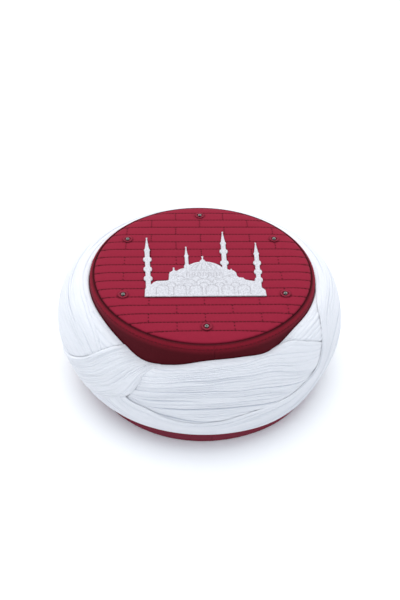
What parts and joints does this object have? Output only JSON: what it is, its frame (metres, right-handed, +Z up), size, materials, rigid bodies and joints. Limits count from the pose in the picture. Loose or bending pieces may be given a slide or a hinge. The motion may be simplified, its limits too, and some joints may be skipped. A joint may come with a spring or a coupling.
{
  "type": "turban",
  "caption": "Low round maroon cap with a quilted crown and a white embroidered skyline, wound with pleated white cloth that is crossed by a fold at the front left.",
  "frame": {"origin": "centre of the cap's rim, on the surface that the turban rests on", "axes": "+Z up through the crown, -Y the wearer's front, +X to the right of a viewer who faces that front"},
  "size_m": [0.2302, 0.226, 0.0946],
  "materials": {
    "wall_cloth": "matte dark maroon woven cloth over a stiff felt wall",
    "crown_cloth": "matte maroon twill, padded and quilted",
    "eyelet_metal": "satin grey metal",
    "white_thread": "slightly shiny white embroidery thread",
    "white_cloth": "matte fine white cotton in soft pleats"
  },
  "bodies": {
    "root": {"cap_wall": "wall_cloth", "crown_panel": "crown_cloth", "eyelet_1": "eyelet_metal", "eyelet_2": "eyelet_metal", "eyelet_3": "eyelet_metal", "eyelet_4": "eyelet_metal", "eyelet_5": "eyelet_metal", "eyelet_6": "eyelet_metal", "embroidered_figure": "white_thread", "under_wrap": "white_cloth", "front_wrap": "white_cloth", "outer_wrap": "white_cloth", "cross_fold": "white_cloth"}
  },
  "joints": []
}
